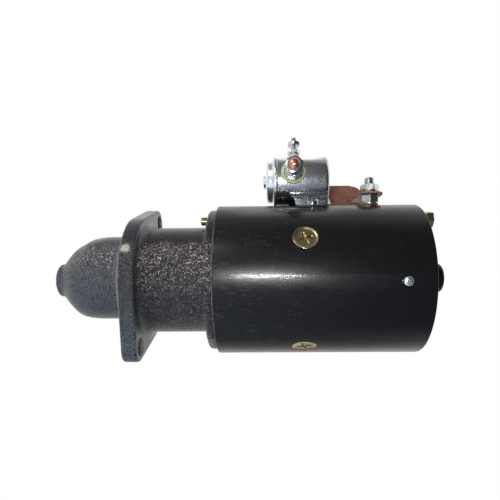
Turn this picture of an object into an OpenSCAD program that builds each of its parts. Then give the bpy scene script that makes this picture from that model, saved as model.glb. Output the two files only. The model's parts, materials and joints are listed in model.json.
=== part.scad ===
// Inertia-drive starter motor with a magnetic switch on top.
// Axes: +X runs along the shaft towards the commutator end, +Z is up, -Y is the front.
// Origin: on the shaft's axis, in the plane of the flange's mounting face.
// A clock position (phi) is measured about X from the front (-Y) towards the top (+Z).

/* [Field frame] */
// Outside radius of the field frame tube
frame_r = 57.15; // [56:0.05:58]
// Wall thickness of the field frame tube
frame_wall = 4.85; // [4:0.05:5.5]
// Front (drive) end of the tube
frame_x0 = 66.5; // [66:0.1:67]
// Rear (commutator) end of the tube
frame_x1 = 216.7; // [216:0.1:218]
// Centre of the pole shoes along the shaft
pole_x = 130; // [128:0.5:132]
// Radius of a pole screw's head
pole_head_r = 9.1; // [8:0.1:9.5]

/* [Drive housing] */
// Radius of the plate that closes the field frame
plate_r = 54.2; // [53:0.1:55]
// Thickness of that plate
plate_t = 6.9; // [6:0.1:7.5]
// Radius of the barrel between the plate and the flange
barrel_r = 40.9; // [40:0.1:41.5]
// Thickness of the mounting flange
flange_t = 11.4; // [10:0.1:12.7]
// Radius of the flange's round middle
flange_mid_r = 49.2; // [48:0.1:50]
// Distance of a mounting hole from the shaft's axis
mount_hole_dist = 57.15; // [56.5:0.05:58.5]
// Radius of a mounting hole
mount_hole_r = 6.2; // [5.5:0.1:6.6]
// Radius of an ear's tip
ear_r = 11; // [10.5:0.1:13]
// Clock position of the upper ear
ear_phi = 122; // [118:0.5:126]
// Radius of the pilot that centres the flange
pilot_r = 38.1; // [37:0.1:39]
// Length of the pilot
pilot_t = 5; // [4:0.5:6]
// Length of the nose in front of the mounting face
nose_len = 59.5; // [59:0.5:60.5]
// Clock position of the ring gear window
window_phi = 212; // [205:1:220]

/* [Armature] */
// Radius of the laminated core
core_r = 36.2; // [35:0.1:36.4]
// Half of the core's length
core_half = 33; // [30:1:34]
// Number of slots and commutator bars
slots = 27; // [21:2:29]
// Radius of the shaft under the drive
shaft_r = 7.94; // [7:0.01:8.5]
// Radius of the commutator
comm_r = 22; // [21:0.1:23]

/* [Drive] */
// Number of pinion teeth
teeth = 10; // [9:1:11]
// Tip radius of the pinion
pinion_tip_r = 18.4; // [17:0.1:19]
// Width of the pinion
pinion_w = 19; // [17:0.5:20]
// Travel of the pinion into the ring gear
drive_travel = 19; // [15:0.5:20]

/* [Magnetic switch] */
// Clock position of the switch
switch_phi = 100; // [98:0.5:102]
// Distance of the switch's axis from the shaft's axis
switch_dist = 80.6; // [80.3:0.1:82]
// Radius of the switch's case
switch_r = 20.2; // [19.5:0.1:20.4]
// Place of the two main studs along the shaft
stud_x = 124.4; // [123.5:0.1:125]
// Radius of the main studs
stud_r = 3.9; // [3.5:0.1:4]
// Place of the small terminal along the shaft
small_x = 126.5; // [126:0.1:127]

/* [Terminal] */
// Place of the field terminal along the shaft
field_x = 184.7; // [183:0.1:186]
// Height of the strap's flat tab above the shaft's axis
tab_z = 65.6; // [65.4:0.1:66]
// Thickness of the copper strap
strap_t = 1.5; // [1.2:0.1:1.6]

/* [Hidden] */
$fn = 96;

frame_ri = frame_r - frame_wall;
plate_x0 = frame_x0 - plate_t;
fit = 0.05;             // radial running clearance of a journal or a thread
gap = 0.1;              // gap between pieces that are only placed together
relief = 0.3;           // how far a stud's shank is relieved below its free end
bolt_phi = 75;          // clock position of the upper through bolt
bolt_dist = 46;         // distance of the through bolts from the axis
bolt_r = 3.175;
spigot_r = frame_ri - fit;
spigot_ri = 49.9;
sleeve_x0 = -pinion_w - drive_travel - 2.2;     // front end of the screw sleeve
core_x0 = pole_x - core_half;
core_x1 = pole_x + core_half;
pole_phis = [30, 120, 210, 300];
brush_x = 195;          // middle of the brushes along the shaft
brush_phis = [43, 133, 223, 313];
pivot_phis = [-2, 178];
pivot_dist = 44;
cap_r = 11.5;           // radius of the rear bearing cap
cap_x1 = 239.2;         // rear end of the bearing cap
small_r = 2.4;          // radius of the small terminal's stud
switch_x0 = 112.4;
switch_x1 = 153.1;

// A cylinder along X from x0 to x1.
module rod(r, x0, x1) {
    translate([x0, 0, 0]) rotate([0, 90, 0]) cylinder(r = r, h = x1 - x0);
}

// A cone along X from radius r0 at x0 to radius r1 at x1.
module taper(r0, r1, x0, x1) {
    translate([x0, 0, 0]) rotate([0, 90, 0]) cylinder(r1 = r0, r2 = r1, h = x1 - x0);
}

// A tube along X.
module tube(ro, ri, x0, x1) {
    difference() {
        rod(ro, x0, x1);
        rod(ri, x0 - 1, x1 + 1);
    }
}

// Turns a profile of [x, radius] points about the X axis.
module turned(points) {
    rotate([0, 90, 0]) rotate_extrude() polygon([for (p = points) [p[1], p[0]]]);
}

// Puts a piece that is drawn upright (outwards = +Z) at clock position phi.
module clock(phi) {
    rotate([90 - phi, 0, 0]) children();
}

// A hexagon nut or bolt head standing on z0, with flats af apart.
module hex(af, z0, z1) {
    translate([0, 0, z0]) rotate([0, 0, 30]) cylinder(d = af / cos(30), h = z1 - z0, $fn = 6);
}

// A flat ring standing on z0.
module ring(ro, ri, z0, z1) {
    difference() {
        translate([0, 0, z0]) cylinder(r = ro, h = z1 - z0);
        translate([0, 0, z0 - 1]) cylinder(r = ri, h = z1 - z0 + 2);
    }
}

// A stud standing from z0 to z1: a relieved shank, then a free end of radius r with a small chamfer.
module stud(r, z0, z1, free) {
    translate([0, 0, z0]) cylinder(r = r - relief, h = z1 - z0 - free - 0.8);
    translate([0, 0, z1 - free - 0.8]) cylinder(r = r, h = free);
    translate([0, 0, z1 - 0.8]) cylinder(r1 = r, r2 = r - 0.8, h = 0.8);
}

// ---- Field frame -------------------------------------------------------------------------------

module field_frame() color([0.03, 0.03, 0.035]) difference() {
    tube(frame_r, frame_ri, frame_x0, frame_x1);
    for (phi = pole_phis) clock(phi) translate([pole_x, 0, 0]) {
        translate([0, 0, 48]) cylinder(r = 4.9, h = 12);
        translate([0, 0, sink_z0]) cylinder(r1 = pole_head_r - 3.7, r2 = pole_head_r + 0.1, h = sink_h);
        translate([0, 0, sink_z0 + sink_h]) cylinder(r = pole_head_r + 0.1, h = 5);
    }
    for (phi = pivot_phis) clock(phi) translate([brush_x + 2, 0, frame_ri - 2]) cylinder(r = 2.25, h = 10);
    for (side = [-1, 1]) clock(foot_phi(side)) translate([foot_screw_x(side), side * foot_screw_y, 40])
        cylinder(r = 2.45, h = 20);
    translate([field_x, 0, frame_ri - 2]) cylinder(r = 5.6, h = 10);
}

sink_z0 = 52.6;         // start of a pole screw's countersink
sink_h = 3.9;

// One pole shoe: a curved face next to the armature on a neck that carries the coil.
module pole_shoe() {
    difference() {
        union() {
            intersection() {
                tube(41, core_r + 0.9, core_x0, core_x1);
                translate([core_x0 - 1, -24, 20]) cube([2 * core_half + 2, 48, 30]);
            }
            intersection() {
                rod(frame_ri - 0.02, core_x0 + 3, core_x1 - 3);
                translate([core_x0, -14.5, 40]) cube([2 * core_half, 29, 20]);
            }
        }
        translate([pole_x, 0, 38.5]) cylinder(r = 4.8, h = 20);
    }
}

module pole_shoes() color([0.35, 0.34, 0.33]) for (phi = pole_phis) clock(phi) pole_shoe();

// A countersunk screw with a crossed recess.
module pole_screw() {
    head_z = frame_r - 0.4;
    translate([pole_x, 0, 0]) difference() {
        union() {
            translate([0, 0, 40]) cylinder(r = 4.75, h = 13);
            translate([0, 0, sink_z0]) cylinder(r1 = pole_head_r - 3.8, r2 = pole_head_r, h = sink_h);
            translate([0, 0, sink_z0 + sink_h]) cylinder(r = pole_head_r, h = head_z - sink_z0 - sink_h);
        }
        for (turn = [20, 110]) rotate([0, 0, turn])
            translate([-5.4, -0.9, head_z - 2]) cube([10.8, 1.8, 5]);
    }
}

module pole_screws() color([0.55, 0.53, 0.35]) for (phi = pole_phis) clock(phi) pole_screw();

// One flat-wound coil, bent to the frame, round a pole's neck.
module field_coil() {
    intersection() {
        tube(frame_ri - 0.4, 41.6, core_x0 - 12, core_x1 + 12);
        difference() {
            translate([core_x0 - 9, -26, 25]) cube([2 * core_half + 18, 52, 40]);
            translate([core_x0 + 2.2, -15.3, 20]) cube([2 * core_half - 4.4, 30.6, 50]);
        }
    }
}

// The coils, and the strip that leads from one of them to the field terminal.
module field_coils() color([0.45, 0.25, 0.12]) {
    for (phi = pole_phis) clock(phi) field_coil();
    difference() {
        translate([core_x1 + 7, -6, 49]) cube([field_x - core_x1, 12, 1.5]);
        translate([field_x, 0, 40]) cylinder(r = stud_r + 0.15, h = 20);
    }
}

// ---- Drive housing -----------------------------------------------------------------------------

// Outline of the flange: a round middle and two ears, as one stretched shape.
module flange_outline() {
    hull() {
        circle(r = flange_mid_r);
        for (side = [-1, 1]) rotate(ear_angle) translate([side * mount_hole_dist, 0]) circle(r = ear_r);
    }
}

ear_angle = 180 - ear_phi;

// Outside of the nose as [x, radius], turned about an axis that rises slightly to the rear.
nose_profile = [[-58, 0], [-58, 12.9], [-55.3, 13.2], [-52.6, 16], [-47.8, 21.5], [-43, 26], [-38.2, 28.7],
    [-33.4, 30.7], [-28.6, 31.7], [-20, 32.3], [4, 32.3], [4, 0]];
nose_rise = 2.8;
nose_pivot = -42;

module nose_outside() {
    translate([nose_pivot, 0, 0]) rotate([0, -nose_rise, 0]) translate([-nose_pivot, 0, 0]) turned(nose_profile);
}

module drive_housing() color([0.13, 0.13, 0.14]) difference() {
    union() {
        nose_outside();
        turned([[-nose_len, 0], [-nose_len, 12.2], [-nose_len + 0.7, 12.9], [-52, 12.9], [-52, 0]]);
        rod(pilot_r, -pilot_t, 2);
        rotate([90, 0, 90]) linear_extrude(flange_t) flange_outline();
        rod(barrel_r, 2, plate_x0 + 2);
        rod(plate_r, plate_x0, frame_x0);
        tube(spigot_r, spigot_ri, frame_x0 - 1, frame_x0 + 4);
    }
    turned([[-57.5, 0], [-57.5, 9], [-50, 9], [-37, 25.2], [5.5, 25.2], [5.5, 35.4], [80, 35.4], [80, 0]]);
    for (side = [0, 180]) clock(ear_phi + side) translate([-20, 0, mount_hole_dist]) rotate([0, 90, 0])
        cylinder(r = mount_hole_r, h = 60);
    for (side = [0, 180]) clock(bolt_phi + side) translate([50, 0, bolt_dist]) rotate([0, 90, 0])
        cylinder(r = bolt_r + fit, h = 30);
    clock(window_phi) translate([-46, -19, 6]) cube([40, 38, 40]);
}

module nose_bushing() color([0.72, 0.55, 0.28]) tube(8.97, 6.35 + fit, -57.3, -47.5);

// ---- Commutator end ----------------------------------------------------------------------------

module commutator_end_frame() color([0.03, 0.03, 0.035]) difference() {
    union() {
        turned([[frame_x1, 0], [frame_x1, 55.8], [217.3, 54.8], [219.2, 49.6], [222.2, 41.6], [225.2, 33],
            [226.6, 25], [227.4, cap_r + 3], [229.4, cap_r], [cap_x1 - 2.1, cap_r], [cap_x1, cap_r - 2.6], [cap_x1, 0]]);
        rod(spigot_r, frame_x1 - 4, frame_x1 + 0.5);
        for (side = [0, 180]) clock(bolt_phi + side) translate([frame_x1, 0, bolt_dist]) rotate([0, 90, 0])
            cylinder(r = 6.4, h = 5.95);
    }
    turned([[frame_x1 - 5, 0], [frame_x1 - 5, 49.5], [216, 48.2], [219.6, 39.6], [221.4, 31], [222.4, 15.5],
        [222.4, 0]]);
    rod(9, 220, 235.6);
    for (side = [0, 180]) clock(bolt_phi + side) translate([210, 0, bolt_dist]) rotate([0, 90, 0])
        cylinder(r = bolt_r + 0.25, h = 20);
}

module end_bushing() color([0.72, 0.55, 0.28]) tube(8.97, 6.35 + fit, 224.5, 235.4);

module thrust_washers() color([0.35, 0.2, 0.1]) {
    tube(12, 6.6, 213.1, 214.7);
    tube(12, 6.6, -47.3, -46.1);
}

// Places a piece drawn along X at both through bolts.
module at_bolts() {
    for (side = [0, 180]) clock(bolt_phi + side) translate([0, 0, bolt_dist]) children();
}

// Two long bolts; the upper one's end stands out in front of the plate.
module through_bolts() color([0.62, 0.58, 0.36]) {
    at_bolts() {
        rod(bolt_r, plate_x0, 225);
        translate([224.25, 0, 0]) rotate([0, 90, 0]) hex(11.1, 0, 4.5);
    }
    clock(bolt_phi) translate([0, 0, bolt_dist]) taper(bolt_r - 0.6, bolt_r, 53.5, 54.1);
    clock(bolt_phi) translate([0, 0, bolt_dist]) rod(bolt_r, 54.1, plate_x0 + 1);
}

module lock_washers() color([0.6, 0.6, 0.58]) at_bolts() tube(5.6, bolt_r + 0.1, 222.7, 224.2);

// ---- Brush gear --------------------------------------------------------------------------------

// A bracket screwed inside the frame, with two ears that hold a pivot pin.
module brush_support() {
    difference() {
        union() {
            intersection() {
                rod(frame_ri - 0.02, 188, 202);
                translate([188, -7, 48.6]) cube([14, 14, 5]);
            }
            for (x = [188.6, 199.4]) translate([x, -4, pivot_dist - 3.6]) cube([2, 8, 9]);
        }
        translate([brush_x + 2, 0, 45]) cylinder(r = 2, h = 10);
        translate([0, 0, pivot_dist]) rod(2.03, 180, 210);
    }
}

module brush_supports() color([0.55, 0.55, 0.55]) for (phi = pivot_phis) clock(phi) brush_support();

module brush_pivot_pins() color([0.7, 0.7, 0.7])
    for (phi = pivot_phis) clock(phi) translate([0, 0, pivot_dist]) rod(2, 183, 207);

// A torsion spring's coil on each pivot pin, with its two legs drawn short.
module brush_springs() color([0.45, 0.45, 0.48]) for (phi = pivot_phis) clock(phi)
    translate([0, 0, pivot_dist]) difference() {
        union() {
            rod(3.4, 191, 199);
            for (end = [[191.8, -1], [198.2, 1]]) translate([end[0], 0, 2.8]) rotate([-end[1] * 80, 0, 0])
                cylinder(r = 0.6, h = 9);
        }
        rod(2.2, 180, 210);
    }

// A small pan-head screw through the frame into a brush support.
module support_screw() {
    translate([brush_x + 2, 0, 0]) difference() {
        union() {
            translate([0, 0, 48.8]) cylinder(r = 1.95, h = 8.6);
            translate([0, 0, frame_r + 0.05]) cylinder(r = 3.5, h = 1.2);
            translate([0, 0, frame_r + 1.25]) cylinder(r1 = 3.5, r2 = 2.4, h = 0.7);
        }
        for (turn = [30, 120]) rotate([0, 0, turn]) translate([-2, -0.35, frame_r + 1]) cube([4, 0.7, 3]);
    }
}

module support_screws() color([0.75, 0.75, 0.72]) for (phi = pivot_phis) clock(phi) support_screw();

// Sign of the side on which brush i's pivot lies, counted round the clock.
function pivot_side(i) = i % 2 == 0 ? -1 : 1;

// The brush, shaped to the commutator, upright above the axis.
module brush_block() {
    difference() {
        translate([brush_x - 8, -3.2, 20]) cube([16, 6.4, 17]);
        rod(comm_r + 0.3, 150, 220);
    }
}

// A sheet-metal lever from the pivot pin to the box that holds the brush.
module brush_arm(side, plate_x) {
    pivot = pivot_dist * [side * sin(45), cos(45)];
    run = [side * 3.9, 31] - pivot;
    difference() {
        union() {
            translate([plate_x, pivot[0], pivot[1]]) rod(4, 0, 2.2);
            translate([plate_x, pivot[0], pivot[1]]) rotate([atan2(-run[0], run[1]), 0, 0])
                translate([0, -2.6, 0]) cube([2.2, 5.2, norm(run)]);
            translate([brush_x - 10.4, -4.8, 27]) cube([20.8, 9.6, 9.4]);
        }
        translate([brush_x - 8.1, -3.3, 20]) cube([16.2, 6.6, 20]);
        translate([0, pivot[0], pivot[1]]) rod(2.06, 180, 210);
    }
}

module arm_plate(i) color([0.6, 0.58, 0.5]) clock(brush_phis[i - 1])
    brush_arm(pivot_side(i - 1), i % 2 == 0 ? 203.2 : 184.6);
module brush_arm_1() arm_plate(1);
module brush_arm_2() arm_plate(2);
module brush_arm_3() arm_plate(3);
module brush_arm_4() arm_plate(4);

module brush(i) color([0.3, 0.2, 0.15]) clock(brush_phis[i - 1]) brush_block();
module brush_1() brush(1);
module brush_2() brush(2);
module brush_3() brush(3);
module brush_4() brush(4);

// ---- Field terminal and strap ------------------------------------------------------------------

module at_field() translate([field_x, 0, 0]) children();

module field_terminal() color([0.7, 0.7, 0.68]) at_field() {
    stud(stud_r, 48.8, 79.3, 4.6);
    hex(12.7, 45.4, 48.9);
}

module terminal_insulators() color([0.25, 0.1, 0.06]) at_field() {
    ring(6.7, stud_r + 0.1, frame_r + 0.1, 58.2);
    ring(5.5, stud_r + 0.1, 51.6, frame_r + 0.2);
    ring(7.6, stud_r + 0.1, 50.6, 51.6);
}

module terminal_washers() color([0.7, 0.7, 0.68]) at_field() {
    ring(6.7, stud_r + 0.1, 58.25, 59.55);
    ring(6.2, stud_r + 0.1, tab_z + strap_t + 0.05, 68.7);
}

module terminal_nuts() color([0.7, 0.7, 0.68]) at_field() difference() {
    union() {
        hex(12.7, 59.6, tab_z - 0.05);
        hex(12.7, 68.8, 73.8);
    }
    translate([0, 0, 55]) cylinder(r = stud_r - relief + fit, h = 30);
}

// The upright leg of the strap, drawn in the switch's own place, and its tab at the field terminal.
module copper_strap() color([0.42, 0.2, 0.14]) difference() {
    union() {
        at_switch() translate([0, strap_y, 0]) rotate([90, 0, 0]) translate([0, 0, -strap_t]) linear_extrude(strap_t)
            polygon([[116.3, -10.6], [114.6, -8], [114.6, 5], [117, 7.5], [176, 7.5], [183, 5.6], [187, 2], [188, -10.6]]);
        translate([0, 0, tab_z]) linear_extrude(strap_t) polygon([[176, 40.4], [176, -8], [178, -10], [189, -10],
            [193.6, -5], [194.8, -1], [194.8, 22], [192.5, 26], [188, 27], [188, 40.4]]);
        at_switch() translate([176, strap_y, -11]) cube([12, strap_t, 2]);
    }
    at_switch() translate([stud_x, 0, 0]) rotate([-90, 0, 0]) cylinder(r = stud_r + 0.15, h = 60);
    at_field() cylinder(r = stud_r + 0.15, h = 90);
}

// ---- Magnetic switch ---------------------------------------------------------------------------

// The switch's own frame: origin on its axis, +Z away from the motor, -Y towards the front.
module at_switch() clock(switch_phi) translate([0, 0, switch_dist]) children();

// Main studs: upright pieces laid along the switch's -Y (front) or +Y (rear) direction.
module front_stud() at_switch() translate([stud_x, 0, 0]) rotate([90, 0, 0]) children();
module rear_stud() at_switch() translate([stud_x, 0, 0]) rotate([-90, 0, 0]) children();

strap_y = 27.2;

module switch_case() color([0.75, 0.76, 0.78]) at_switch() difference() {
    union() {
        rod(switch_r, switch_x0, switch_x1 - 3);
        rod(switch_r - 3, switch_x0 + 5, switch_x1);
        rotate([0, 90, 0]) translate([0, 0, switch_x1 - 3]) rotate_extrude() translate([switch_r - 3, 0]) circle(r = 3);
    }
    rod(switch_r - 1.3, switch_x0 - 1, switch_x1 - 2);
    for (side = [-1, 1]) translate([stud_x, 0, 0]) rotate([side * 90, 0, 0]) cylinder(r = 5.3, h = 40);
    translate([small_x, 0, 0]) cylinder(r = 3.6, h = 40);
}

module switch_cap() color([0.75, 0.76, 0.78]) at_switch() difference() {
    union() {
        rod(21.5, 109.1, switch_x0 - 0.05);
        rod(17.6, 105.8, 110);
        rod(15.1, 103.3, 110);
        rotate([0, 90, 0]) translate([0, 0, 105.8]) rotate_extrude() translate([15.1, 0]) circle(r = 2.5);
        rod(5.6, 101.4, 104);
        taper(4.6, 5.6, 100.9, 101.4);
    }
    rod(16.2, 105.2, switch_x0 + 1);
    rod(3.4, 102.2, 106);
}

foot_tilt = 38;         // angle between the switch's clock position and a foot's
foot_screw_y = 13.5;
function foot_phi(side) = switch_phi + side * -foot_tilt;

// The rear foot's screw stands further back, clear of the pole screw beneath that foot.
function foot_screw_x(side) = side > 0 ? 138.3 : 145.5;

// A flat foot that leans from the frame up to the side of the switch's case.
module bracket_foot(side) {
    clock(foot_phi(side)) translate([0, 0, frame_r + 0.1]) linear_extrude(1.4)
        polygon([for (p = [[127.6, 7], [148.5, 7], [151.4, 11], [151.8, 31], [121.5, 31], [122, 28.5], [125.1, 24],
            [125.1, 10.5]]) [p[0], side * p[1]]]);
}

module switch_bracket() color([0.72, 0.74, 0.76]) difference() {
    union() {
        for (side = [-1, 1]) bracket_foot(side);
        at_switch() intersection() {
            rod(switch_r + 1.3, 121.5, 151.8);
            translate([120, -30, -30]) cube([34, 60, 20]);
        }
    }
    at_switch() rod(switch_r + 0.02, 110, 160);
    for (side = [-1, 1]) clock(foot_phi(side)) translate([foot_screw_x(side), side * foot_screw_y, 50])
        cylinder(r = 2.5, h = 20);
}

module bracket_screws() color([0.78, 0.78, 0.76])
    for (side = [-1, 1]) clock(foot_phi(side)) translate([foot_screw_x(side), side * foot_screw_y, 0]) difference() {
        union() {
            translate([0, 0, 51.5]) cylinder(r = 2.38, h = 8);
            translate([0, 0, frame_r + 1.55]) cylinder(r = 4.3, h = 1.8);
            translate([0, 0, frame_r + 3.35]) cylinder(r1 = 4.3, r2 = 3, h = 0.8);
        }
        translate([-5, -0.55, frame_r + 2.9]) cube([10, 1.1, 3]);
    }

// A main stud with the square contact head that sits inside the case.
module main_stud(tip, free) {
    stud(stud_r, 13, tip, free);
    translate([-4.4, -4.4, 7]) cube([8.8, 8.8, 6.2]);
}

module battery_stud() color([0.72, 0.36, 0.28]) front_stud() main_stud(40.5, 3.3);
module motor_stud() color([0.72, 0.36, 0.28]) rear_stud() main_stud(38, 1.7);

module stud_insulator() {
    ring(9.5, stud_r + 0.1, switch_r + 0.1, 22.5);
    ring(5.2, stud_r + 0.1, 15.4, switch_r + 0.2);
    ring(6.4, stud_r + 0.1, 13.3, 15.4);
}

module stud_insulators() color([0.62, 0.7, 0.42]) {
    front_stud() stud_insulator();
    rear_stud() stud_insulator();
}

// Two hexagon nuts between z0, z1 and z2, z3 on a main stud.
module nut_pair(z0, z1, z2, z3) {
    difference() {
        union() {
            hex(12.7, z0, z1);
            hex(12.7, z2, z3);
        }
        cylinder(r = stud_r - relief + fit, h = 60);
    }
}

module stud_nuts() color([0.75, 0.76, 0.78]) {
    front_stud() nut_pair(24.2, 29.4, 31, 36.4);
    rear_stud() difference() {
        hex(12.7, 30.4, 35.4);
        cylinder(r = stud_r - relief + fit, h = 60);
    }
}

module stud_washers() color([0.72, 0.73, 0.75]) {
    front_stud() ring(7.9, stud_r + 0.1, 22.6, 24.1);
    front_stud() ring(6.4, stud_r + 0.1, 29.5, 30.9);
    rear_stud() ring(7.9, stud_r + 0.1, 22.6, 27.1);
    rear_stud() ring(6.4, stud_r + 0.1, strap_y + strap_t + 0.1, 30.3);
}

module at_small() at_switch() translate([small_x, 0, 0]) children();

module small_terminal() color([0.75, 0.76, 0.78]) at_small() {
    stud(small_r, 16.7, 38.9, 2.9);
    translate([0, 0, 15]) cylinder(r = 3.4, h = 1.8);
}

module small_insulator() color([0.62, 0.62, 0.58]) at_small() {
    ring(4.2, 2.5, switch_r + 0.1, 23.8);
    ring(3.5, 2.5, 16.9, switch_r + 0.2);
}

module small_nuts() color([0.75, 0.76, 0.78]) at_small() difference() {
    union() {
        hex(9.5, 24.6, 27.7);
        hex(9.5, 31.6, 34.9);
        ring(4.6, 2.5, 23.9, 24.5);
    }
    cylinder(r = small_r - relief + fit, h = 50);
}

spool_x0 = 131;

module switch_spool() color([0.85, 0.82, 0.7]) at_switch() {
    tube(10.2, 8.8, spool_x0, 150.8);
    tube(17.8, 8.8, spool_x0, spool_x0 + 1.2);
    tube(17.8, 8.8, 149.6, 150.8);
}

module switch_coil() color([0.6, 0.3, 0.12]) at_switch() tube(17.2, 10.3, spool_x0 + 1.3, 149.5);

module switch_core() color([0.5, 0.5, 0.5]) at_switch() rod(8.75, 142.6, 151);

module switch_plunger() color([0.55, 0.55, 0.55]) at_switch() difference() {
    union() {
        rod(8.74, 130.2, 140);
        rod(2, 106, 131);
    }
    rod(7, 135.2, 141);
}

// The disc that bridges the two studs' contact heads.
module contact_disc() color([0.75, 0.4, 0.25]) at_switch() difference() {
    union() {
        rod(12.8, 115.9, 117.6);
        rod(4, 113.4, 117.7);
    }
    rod(2.02, 110, 120);
}

module plunger_spring() color([0.6, 0.6, 0.6]) at_switch() tube(6.4, 5, 135.5, 142.4);

// ---- Armature and drive ------------------------------------------------------------------------

module armature_shaft() color([0.6, 0.6, 0.6]) {
    rod(6.35, -57, -45.9);
    rod(shaft_r, -46, 86);
    rod(9.5, 85.9, 178);
    rod(9, 177.9, 213);
    rod(6.35, 212.9, 235);
}

module armature_core() color([0.4, 0.4, 0.42]) difference() {
    rod(core_r, core_x0, core_x1);
    rod(9.5 + gap / 2, core_x0 - 1, core_x1 + 1);
    for (i = [0 : slots - 1]) rotate([i * 360 / slots, 0, 0])
        translate([core_x0 - 1, -1.6, 26]) cube([2 * core_half + 2, 3.2, 20]);
}

module armature_winding() color([0.55, 0.28, 0.12]) {
    turned([[80, 22], [80, 27.5], [87, 33.6], [core_x0 - gap, 34.8], [core_x0 - gap, 22]]);
    turned([[core_x1 + gap, 22], [core_x1 + gap, 34.8], [170, 33.6], [177.8, 25.6], [177.8, 22]]);
    for (i = [0 : slots - 1]) rotate([i * 360 / slots, 0, 0])
        translate([core_x0 - 2, -1.4, 26.3]) cube([2 * core_half + 4, 2.8, 8.3]);
}

module commutator() color([0.7, 0.4, 0.25]) difference() {
    union() {
        rod(comm_r, 178, 210);
        rod(24.6, 178, 182.6);
    }
    rod(9 + gap / 2, 170, 220);
    for (i = [0 : slots - 1]) rotate([i * 360 / slots, 0, 0])
        translate([177, -0.35, comm_r - 1]) cube([40, 0.7, 6]);
}

// The drive head is keyed to the shaft and holds the rear end of the drive spring.
module drive_head() color([0.5, 0.5, 0.52]) difference() {
    union() {
        rod(15, 61, 74);
        rod(20, 63.5, 72);
    }
    rod(shaft_r + 0.02, 50, 80);
    translate([67.8, 0, 5]) cylinder(r = 3.05, h = 20);
}

module anchor_screws() color([0.6, 0.6, 0.58]) {
    translate([67.8, 0, shaft_r + 0.2]) cylinder(r = 3, h = 11.6);
    translate([67.8, 0, 20.1]) cylinder(r = 4.6, h = 2.2, $fn = 6);
    translate([41.5, 0, 18.95]) cylinder(r = 2.4, h = 1.7, $fn = 6);
}

// Envelope of the heavy coil spring between the drive head and the screw sleeve.
module drive_spring() color([0.35, 0.36, 0.4]) tube(19.4, 13.6, 44.1, 60.9);

// The sleeve that the pinion slides on; its screw throws the pinion forwards.
module screw_sleeve() color([0.55, 0.55, 0.57]) difference() {
    union() {
        rod(9.6, sleeve_x0, 5);
        rod(12.2, 4.2, 36.5);
        rod(18.9, 39, 44);
        rod(12.2, 36, 40);
    }
    rod(shaft_r + fit, -50, 50);
}

module stop_nut() color([0.55, 0.55, 0.55]) difference() {
    translate([sleeve_x0 - 5.4, 0, 0]) rotate([0, 90, 0]) cylinder(r = 12.5, h = 5.2, $fn = 6);
    rod(shaft_r + 0.02, -50, -40);
}

pinion_root_r = 12.7;
tooth_step = 360 / teeth;

// One tooth as a tapered outline, upright above the centre.
module tooth_outline() {
    polygon([[-3.4, pinion_root_r - 0.8], [-3.3, pinion_root_r + 0.6], [-2.5, 15.9], [-1.35, pinion_tip_r],
        [1.35, pinion_tip_r], [2.5, 15.9], [3.3, pinion_root_r + 0.6], [3.4, pinion_root_r - 0.8]]);
}

module pinion() color([0.5, 0.5, 0.52]) difference() {
    union() {
        rod(pinion_root_r, -pinion_w, 0);
        for (i = [0 : teeth - 1]) rotate([i * tooth_step, 0, 0]) translate([-pinion_w, 0, 0])
            rotate([90, 0, 90]) linear_extrude(pinion_w) tooth_outline();
    }
    rod(9.6 + fit, -pinion_w - 1, 1);
}

module drive_barrel() color([0.45, 0.46, 0.5]) difference() {
    rod(20.4, 0.05, 38.5);
    rod(10, -1, 5);
    rod(16.6, 3.2, 40);
}

module control_nut() color([0.6, 0.45, 0.25]) tube(16.55, 12.2 + fit, 24, 36);

field_frame();
pole_shoes();
pole_screws();
field_coils();
drive_housing();
nose_bushing();
commutator_end_frame();
end_bushing();
thrust_washers();
through_bolts();
lock_washers();
brush_supports();
brush_pivot_pins();
brush_springs();
support_screws();
field_terminal();
terminal_insulators();
terminal_nuts();
terminal_washers();
copper_strap();
switch_case();
switch_cap();
switch_bracket();
bracket_screws();
battery_stud();
motor_stud();
stud_insulators();
stud_nuts();
stud_washers();
small_terminal();
small_insulator();
small_nuts();
switch_spool();
switch_coil();
switch_core();
armature_shaft();
armature_core();
armature_winding();
commutator();
drive_head();
anchor_screws();
drive_spring();
screw_sleeve();
stop_nut();
pinion();
drive_barrel();
control_nut();
switch_plunger();
contact_disc();
plunger_spring();
brush_arm_1();
brush_arm_2();
brush_arm_3();
brush_arm_4();
brush_1();
brush_2();
brush_3();
brush_4();
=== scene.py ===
"""Looks for the inertia-drive starter motor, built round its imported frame.

Units are metres. +X runs along the shaft towards the commutator end, -Y is the front, +Z is up.
A clock position is an angle about X, from the front (-Y) towards the top (+Z), as in the CAD source.
"""
import json
import math

import bmesh
import bpy
import numpy as np
from mathutils import Matrix, Vector


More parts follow.
